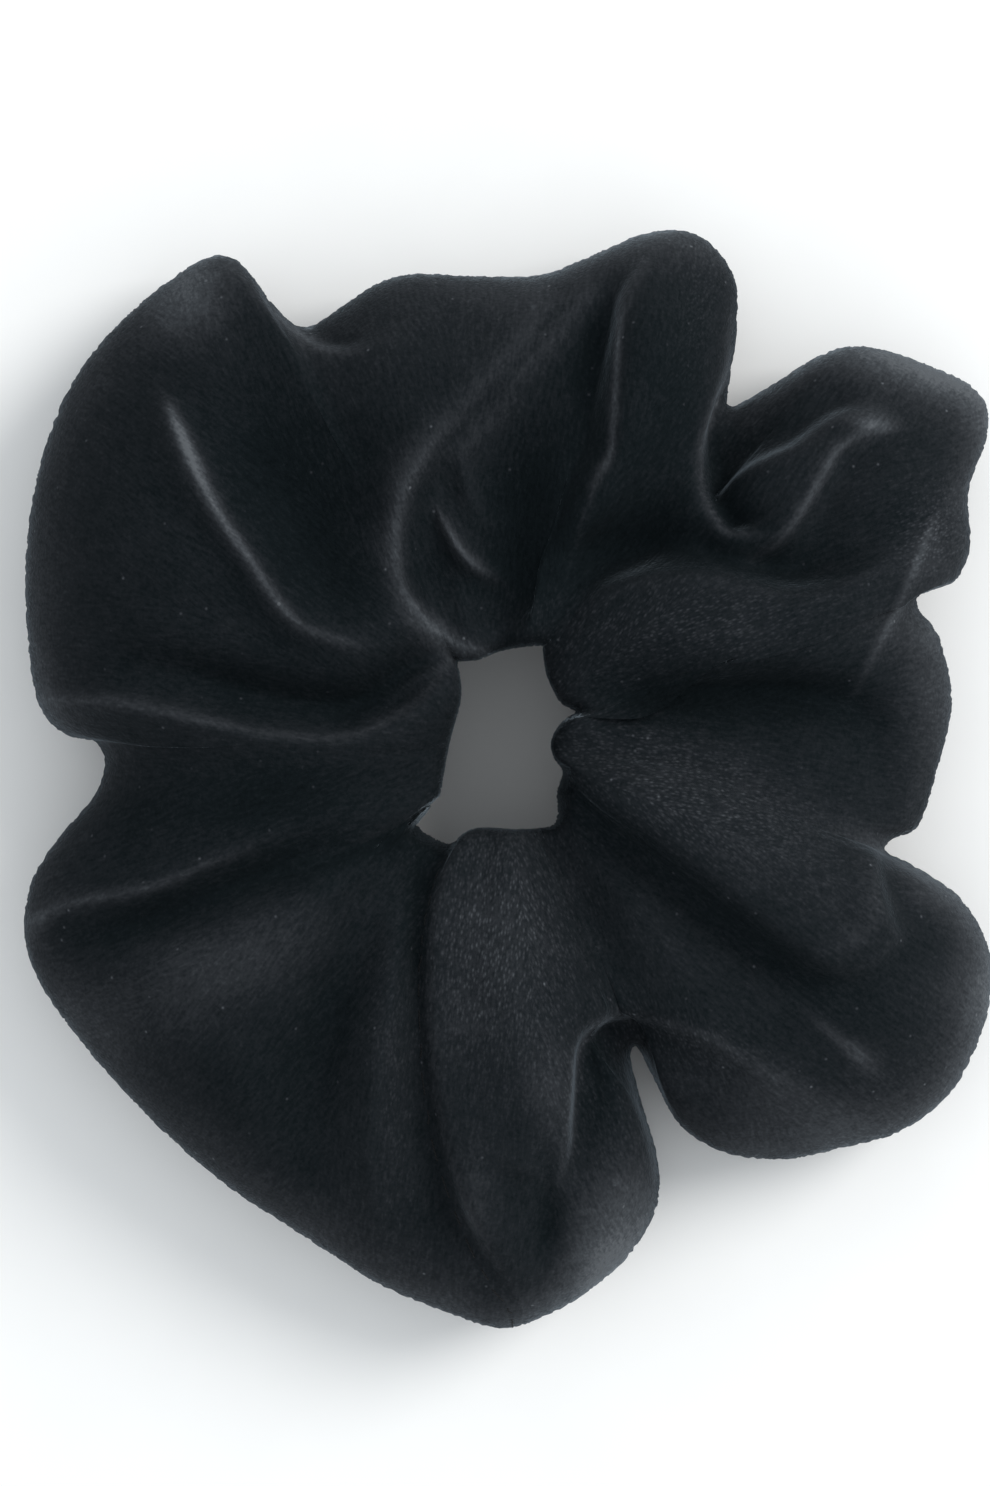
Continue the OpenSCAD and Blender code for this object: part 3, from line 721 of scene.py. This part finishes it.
def velvet_material():
    m = Nodes("velvet")
    speckle = m.noise(2400, 3)
    courses = m.noise(1, 2, m.attribute("cloth", "Vector"))
    mottle = m.noise(140, 3)
    # painted sheen, highlights and shade, with the pile's own paler patches, as laid on the sleeve
    tone_and_light = m.attribute("tone_and_light")
    grain = m.math("MULTIPLY_ADD", speckle, .50, m.math("MULTIPLY", courses, .50))
    # the pile's tone with its painted light, evenly roughened by its tufts and the knit under them
    rough = m.math("ADD", m.math("MULTIPLY_ADD", grain, 2.2, -1.1),
                   m.math("MULTIPLY_ADD", mottle, .6, -.3))
    # ticks where the knit's rows show, and specks of lint
    rows = m.cells(1, m.vector("MULTIPLY", m.attribute("cloth", "Vector"), (1.25, 2.1, 2.1)))
    tick = m.clamped("MULTIPLY_ADD", rows, -2.4, 1.25)
    rough = m.math("MULTIPLY_ADD", m.math("MULTIPLY_ADD", tick, .95, -.24), m.attribute("ticks"), rough)
    lint = m.clamped("MULTIPLY_ADD", m.cells(340), -14, 1.2)
    rough = m.math("MULTIPLY_ADD", lint, 1.5, rough)
    pale = m.math("MULTIPLY_ADD", m.math("ADD", tone_and_light, rough), 1 / 3, .2)
    colour = m.ramp(pale, (.0, (.0014, .0032, .0041)), (.2, (.0036, .0061, .0075)),
                    (.4, (.0094, .0117, .0140)), (.6, (.0204, .0229, .0264)),
                    (.8, (.0395, .0440, .0495)), (1.0, (.0780, .0850, .0930)))
    m.link(colour, m.shader.inputs["Base Color"])
    geometry = m.tree.nodes.new("ShaderNodeNewGeometry")
    lean = m.vector("SCALE", m.attribute("nap", "Vector"), NAP_LEAN)
    normal = m.vector("NORMALIZE", m.vector("ADD", geometry.outputs["Normal"], lean))
    m.bump(grain, .5, .0003, normal)
    m.set(Roughness=.95, Specular_IOR_Level=.08, Sheen_Weight=.22, Sheen_Roughness=.25,
          Sheen_Tint=(.66, .80, .92, 1))
    return m.material


# ---------------------------------------------------------------- the sleeve

def build_sleeve():
    grid, normals, angle, r_out, hole = sleeve_grid()
    build_inside(grid, normals, angle, hole)
    material = velvet_material()
    count = grid.shape[1]
    cuts = [int(np.argmin(np.abs((angle - middle_of(k) + GATHER_ANGLE / 2 + 180) % 360 - 180)))
            for k in range(1, GATHERS + 1)]
    for k in range(1, GATHERS + 1):
        first, last = cuts[k - 1], cuts[k % GATHERS]
        rows = np.arange(first, last + 1 if last > first else last + STATIONS + 1) % STATIONS
        points = grid[rows].reshape(-1, 3)
        s, j = np.meshgrid(np.arange(len(rows) - 1), np.arange(count), indexing="ij")
        j2 = (j + 1) % count
        faces = np.stack([s * count + j, s * count + j2, (s + 1) * count + j2, (s + 1) * count + j],
                         axis=2).reshape(-1, 4)
        obj = new_mesh(f"velvet_sleeve_{k:02d}", points * MM, faces)
        obj.data.normals_split_custom_set_from_vertices(normals[rows].reshape(-1, 3))
        obj.data.materials.append(material)
        seen = as_seen(points)
        gap = np.repeat(r_out[rows], count) - np.hypot(seen[:, 0], seen[:, 1])
        # the colour's painted sheen, highlights and shade, with the pile's own paler patches
        tone_and_light = tones_with_painted_light(seen, gap, np.repeat(angle[rows], count))
        add_attribute(obj, "tone_and_light", "FLOAT", np.clip(tone_and_light + PILE_TONE, -.6, 2.6))
        add_attribute(obj, "ticks", "FLOAT", np.clip(swell(seen, TICKS) + .12, 0, 1))
        turn = np.radians(angle[rows])
        nap = np.stack([-np.sin(turn), np.cos(turn), np.zeros(len(turn))], axis=1)
        add_attribute(obj, "nap", "FLOAT_VECTOR", np.repeat(nap, count, axis=0))
        m = math.radians(middle_of(k))
        ahead = points[:, 0] * math.cos(m) + points[:, 1] * math.sin(m)
        beside_it = points[:, 1] * math.cos(m) - points[:, 0] * math.sin(m)
        add_attribute(obj, "cloth", "FLOAT_VECTOR",
                      np.stack([beside_it / GRAIN_FINE, ahead / GRAIN_LONG,
                                points[:, 2] / GRAIN_LONG + 40 * k], axis=1))
        bend(obj)
        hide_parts(f"sleeve_gather_{k:02d}")
        if k == 1:
            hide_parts("sleeve_tucked_end")


# ---------------------------------------------------------------- inside the sleeve

def tubes(paths, radius, sides=8):
    """Points and faces of capped tubes along the paths, all in mm."""
    points, faces = [], []
    for path in paths:
        p = np.array(path, float)
        way = np.gradient(p, axis=0)
        way /= np.linalg.norm(way, axis=1)[:, None]
        up = np.where(np.abs(way[:, 2:3]) > .8, [[1.0, 0, 0]], [[0, 0, 1.0]])
        side = np.cross(way, up)
        side /= np.linalg.norm(side, axis=1)[:, None]
        top = np.cross(side, way)
        first = len(points)
        for i, q in enumerate(p):
            points += [q + radius * (math.cos(a) * side[i] + math.sin(a) * top[i])
                       for a in np.arange(sides) * TAU / sides]
            if i:
                a, b = first + (i - 1) * sides, first + i * sides
                faces += [(a + j, a + (j + 1) % sides, b + (j + 1) % sides, b + j)
                          for j in range(sides)]
        last = first + (len(p) - 1) * sides
        faces += [tuple(range(first + sides - 1, first - 1, -1)), tuple(range(last, last + sides))]
    return np.array(points), faces


def angles_of(points):
    return np.degrees(np.arctan2(points[:, 1], points[:, 0]))


def hidden_piece(name, k, points, faces, material, slot, node):
    """A piece inside the sleeve that stands for the CAD's node; k is not used."""
    obj = new_mesh(name, points * MM, faces)
    obj.data.materials.append(material)
    bend(obj)
    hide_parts(node)
    return obj


def thread_material():
    m = Nodes("sewing_thread")
    twist = m.tree.nodes.new("ShaderNodeTexWave")
    twist.inputs["Scale"].default_value = 1800
    twist.bands_direction = "DIAGONAL"
    m.link(m.coord, twist.inputs["Vector"])
    m.link(m.ramp(twist.outputs["Fac"], (.1, (.002, .0025, .003)), (.9, (.008, .009, .010))),
           m.shader.inputs["Base Color"])
    m.bump(twist.outputs["Fac"], .4, .00004)
    m.set(Roughness=.8, Specular_IOR_Level=.2)
    return m.material


def braid_material():
    m = Nodes("elastic_braid")
    mixed = m.math("MULTIPLY_ADD", m.noise(5000), .4, m.math("MULTIPLY", m.cells(1900), .9))
    m.link(m.ramp(mixed, (.15, (.005, .005, .006)), (.8, (.026, .026, .028))),
           m.shader.inputs["Base Color"])
    m.bump(mixed, .6, .0001)
    m.set(Roughness=.7, Sheen_Weight=.15)
    return m.material


def rubber_material():
    m = Nodes("rubber_cord")
    m.link(m.ramp(m.noise(900, 3), (.3, (.50, .45, .36)), (.7, (.62, .57, .47))),
           m.shader.inputs["Base Color"])
    m.bump(m.noise(2500), .2, .00005)
    m.set(Roughness=.45, Subsurface_Weight=.2)
    return m.material


def arc(radius, a0, a1, steps, z):
    """Points from angle a0 to a1 at one radius and height."""
    return [(radius * math.cos(a), radius * math.sin(a), z)
            for a in np.radians(np.linspace(a0, a1, steps))]


def ribbed_band(radius, a0, a1, steps, z, wide, thick, ribs):
    """The elastic's cover: a flat band with a rib over each rubber cord, ends capped."""
    half = []
    for i in range(ribs * 6 + 1):
        t = i / (ribs * 6)
        edge = min(1, min(t, 1 - t) * ribs * 2.2) ** .5
        half.append((z + wide * (t - .5), thick / 2 * (.35 + .65 * edge)
                     * (.88 + .12 * abs(math.sin(math.pi * t * ribs)))))
    ring = [(radius + d, h) for h, d in half] + [(radius - d, h) for h, d in half[::-1]]
    n = len(ring)
    points, faces = [], []
    for s, a in enumerate(np.radians(np.linspace(a0, a1, steps))):
        points += [(r * math.cos(a), r * math.sin(a), h) for r, h in ring]
        if s:
            faces += [((s - 1) * n + j, (s - 1) * n + (j + 1) % n, s * n + (j + 1) % n, s * n + j)
                      for j in range(n)]
    faces += [tuple(range(n - 1, -1, -1)), tuple(range((steps - 1) * n, steps * n))]
    return points, faces


def build_elastic():
    """The cover and cords. Gives the loop's radius, the cords' heights and their pitch."""
    low, high = (np.array(v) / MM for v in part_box("elastic_cover"))
    cord_low, cord_high = (np.array(v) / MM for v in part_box("rubber_cords"))
    z, wide = (low[2] + high[2]) / 2, high[2] - low[2]
    radius = high[0] - COVER_THICK / 2
    pitch = (cord_high[2] - cord_low[2] - CORD_THICK) / (CORDS - 1)
    cord_z = [z + (i - (CORDS - 1) / 2) * pitch for i in range(CORDS)]
    braid, rubber = braid_material(), rubber_material()
    for k in range(1, GATHERS + 1):
        a0, a1 = middle_of(k) - GATHER_ANGLE / 2, middle_of(k) + GATHER_ANGLE / 2
        points, faces = ribbed_band(radius, a0, a1, 15, z, wide, COVER_THICK, CORDS)
        runs = [arc(radius, a0, a1, 15, h) for h in cord_z]
        if k == OVERLAP_GATHER:
            more, more_faces = ribbed_band(radius + COVER_THICK, a0 + .6, a1 - .6, 15, z, wide,
                                           COVER_THICK, CORDS)
            faces += [tuple(len(points) + i for i in f) for f in more_faces]
            points += more
            runs += [arc(radius + COVER_THICK, a0 + .9, a1 - .9, 15, h) for h in cord_z]
        hidden_piece(f"elastic_cover_{k:02d}", k, np.array(points), faces, braid, "elastic_braid",
                     "elastic_cover")
        hidden_piece(f"rubber_cords_{k:02d}", k, *tubes(runs, CORD_THICK / 2), rubber, "rubber_cord",
                     "rubber_cords")
    return radius, cord_z, pitch


def build_inside(grid, normals, angle, hole):
    """The elastic, and the three threads of the seams."""
    thread = thread_material()
    radius, cord_z, pitch = build_elastic()
    # the tacking through both layers of the elastic, in and out between its cords
    runs = []
    for share in TACK_COLUMNS:
        a = math.radians(middle_of(OVERLAP_GATHER) + GATHER_ANGLE * (share - .5))
        inner, outer = radius - COVER_THICK / 2 - .1, radius + COVER_THICK * 1.5 + .1
        run = []
        for i in range(CORDS - 1):
            h = cord_z[i] + pitch / 2
            ends = (inner, outer) if i % 2 else (outer, inner)
            run += [(r * math.cos(a), r * math.sin(a), h) for r in ends]
        runs.append(evenly_open(run, 60))
    hidden_piece("elastic_tack_thread_run", OVERLAP_GATHER, *tubes(runs, TACK_RADIUS), thread,
                 "sewing_thread", "elastic_tack_thread")
    # the long seam, by the hole, and its stitches slice by slice
    low, high = (np.array(v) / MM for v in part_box("long_seam_thread"))
    z = (low[2] + high[2]) / 2
    stitch_at = SEAM_ANGLE + LONG_START + LONG_PITCH * np.arange(LONG_STITCHES)
    for k in range(1, GATHERS + 1):
        off = np.abs((stitch_at - middle_of(k) + 180) % 360 - 180)
        runs = []
        for a in stitch_at[off < GATHER_ANGLE / 2]:
            r = np.interp(a % 360, *hole) + SEAM_IN
            runs.append(arc(r, a - LONG_PITCH * STITCH_HALF, a + LONG_PITCH * STITCH_HALF, 4, z))
        hidden_piece(f"long_seam_thread_{k:02d}", k, *tubes(runs, SEAM_RADIUS), thread, "sewing_thread",
                     "long_seam_thread")
    # the closing seam: small stitches beside the lip, all round the mouth
    lip = spline(OVERLAPS[CLOSING]["at"], 8)[:, :2]
    lip_r = np.hypot(lip[:, 0], lip[:, 1])
    lip_a = angles_of(lip) % 360
    count = grid.shape[1]
    runs = []
    for start in np.linspace(0, count, CLOSING_STITCHES, endpoint=False):
        run = []
        for j in np.linspace(start, start + count / CLOSING_STITCHES * CLOSING_LONG, 5):
            j = int(round(j)) % count
            at = np.interp(np.hypot(*grid[0, j, :2]), lip_r, lip_a)
            for _ in range(3):
                s = int(np.argmin(np.abs((angle - at + 180) % 360 - 180)))
                at = np.interp(np.hypot(*grid[s, j, :2]), lip_r, lip_a) - CLOSING_BESIDE
            run.append(grid[s, j] - CLOSING_SUNK * normals[s, j])
        if np.linalg.norm(np.array(run[0]) - run[-1]) > .5:
            runs.append(evenly_open(run, 6))
    hidden_piece("closing_seam_stitches", 1, *tubes(runs, CLOSING_RADIUS, 6), thread, "sewing_thread",
                 "closing_seam_thread")


# ---------------------------------------------------------------- the studio

def build_studio():
    reach = FLOOR_SIZE / 2
    corners = [(-reach, -reach, 0), (reach, -reach, 0), (reach, reach, 0), (-reach, reach, 0)]
    floor = new_mesh("floor", corners, [(0, 1, 2, 3)], smooth=False)
    m = Nodes("floor_paper")
    m.link(m.ramp(m.noise(60, 3), (.3, (.855, .855, .85)), (.7, (.875, .875, .87))),
           m.shader.inputs["Base Color"])
    m.set(Roughness=.9)
    floor.data.materials.append(m.material)
    floor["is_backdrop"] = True
    world = bpy.data.worlds.new("studio")
    bpy.context.scene.world = world
    world.use_nodes = True
    background = world.node_tree.nodes["Background"]
    background.inputs["Color"].default_value = SKY_COLOUR
    background.inputs["Strength"].default_value = SKY_STRENGTH
    light = bpy.data.lights.new("window", "AREA")
    light.shape = "DISK"
    light.size = WINDOW_SIZE
    light.energy = WINDOW_POWER
    light.color = WINDOW_COLOUR
    window = bpy.data.objects.new("window", light)
    window.location = WINDOW_AT
    window.rotation_euler = (-Vector(WINDOW_AT)).to_track_quat("-Z", "Y").to_euler()
    bpy.context.scene.collection.objects.link(window)


def build_camera():
    camera = bpy.data.cameras.new("camera")
    camera.lens = camera.sensor_width * LOOK_HEIGHT * MM / VIEW_TALL
    obj = bpy.data.objects.new("camera", camera)
    obj.location = (LOOK_AT[0] * MM, LOOK_AT[1] * MM, (LOOK_HEIGHT + LOOK_PLANE) * MM)
    bpy.context.scene.collection.objects.link(obj)
    bpy.context.scene.camera = obj


bpy.context.scene.view_settings.view_transform = "Standard"
build_camera()
build_studio()
build_sleeve()
